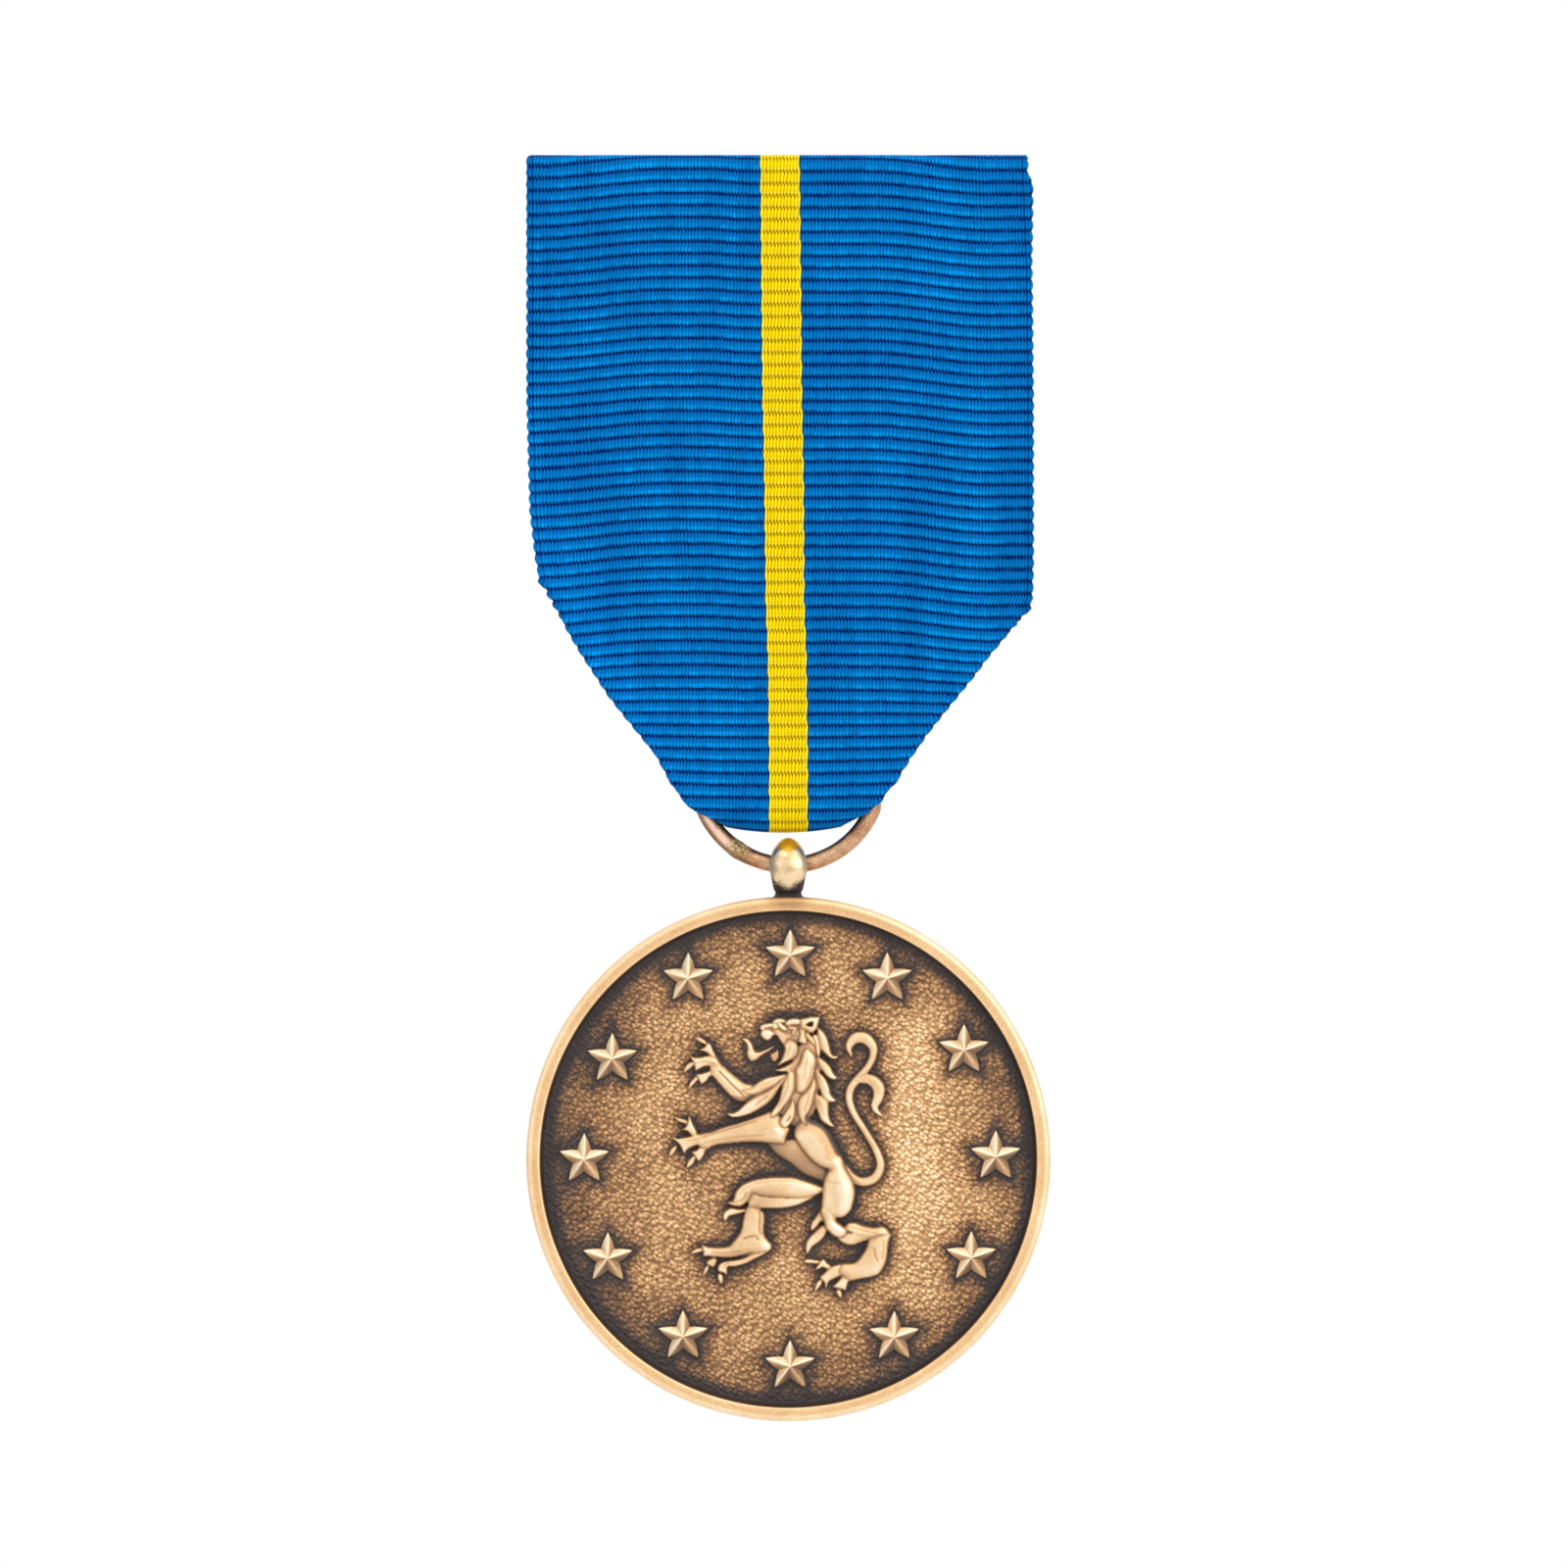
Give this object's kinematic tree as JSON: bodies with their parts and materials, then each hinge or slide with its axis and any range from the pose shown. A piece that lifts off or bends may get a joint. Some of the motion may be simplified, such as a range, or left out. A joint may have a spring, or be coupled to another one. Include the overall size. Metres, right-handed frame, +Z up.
{
  "type": "military medal on a ribbon",
  "caption": "Round cast bronze medal with a lion and stars in relief, hanging by an eyelet and a wire ring from a folded ribbon with a brooch pin.",
  "frame": {"origin": "middle of the pin wire behind the ribbon's top, where the medal is pinned on", "axes": "+Z up, along the hanging medal, +X to the right seen from the front, and -Y is the front"},
  "size_m": [0.038, 0.0079, 0.0921],
  "materials": {
    "ribbon": "ribbed silk-like weave, blue with a narrow yellow stripe down the middle",
    "ring": "drawn bronze wire, dark in the hollows",
    "medal": "antique bronze, dark patina in the field and pale on the rim and the relief",
    "pin": "plain satin metal"
  },
  "bodies": {
    "ribbon_and_ring": {"ribbon": "ribbon", "ring": "ring", "brooch_pin": "pin"},
    "drop": {"medal": "medal"}
  },
  "joints": [
    {"name": "medal_swing", "type": "hinge", "parent": "ribbon_and_ring", "child": "drop", "pos_m": [0.0006, -0.0046, -0.04868], "axis": [1, 0, 0], "range_deg": [-110, 110]}
  ]
}
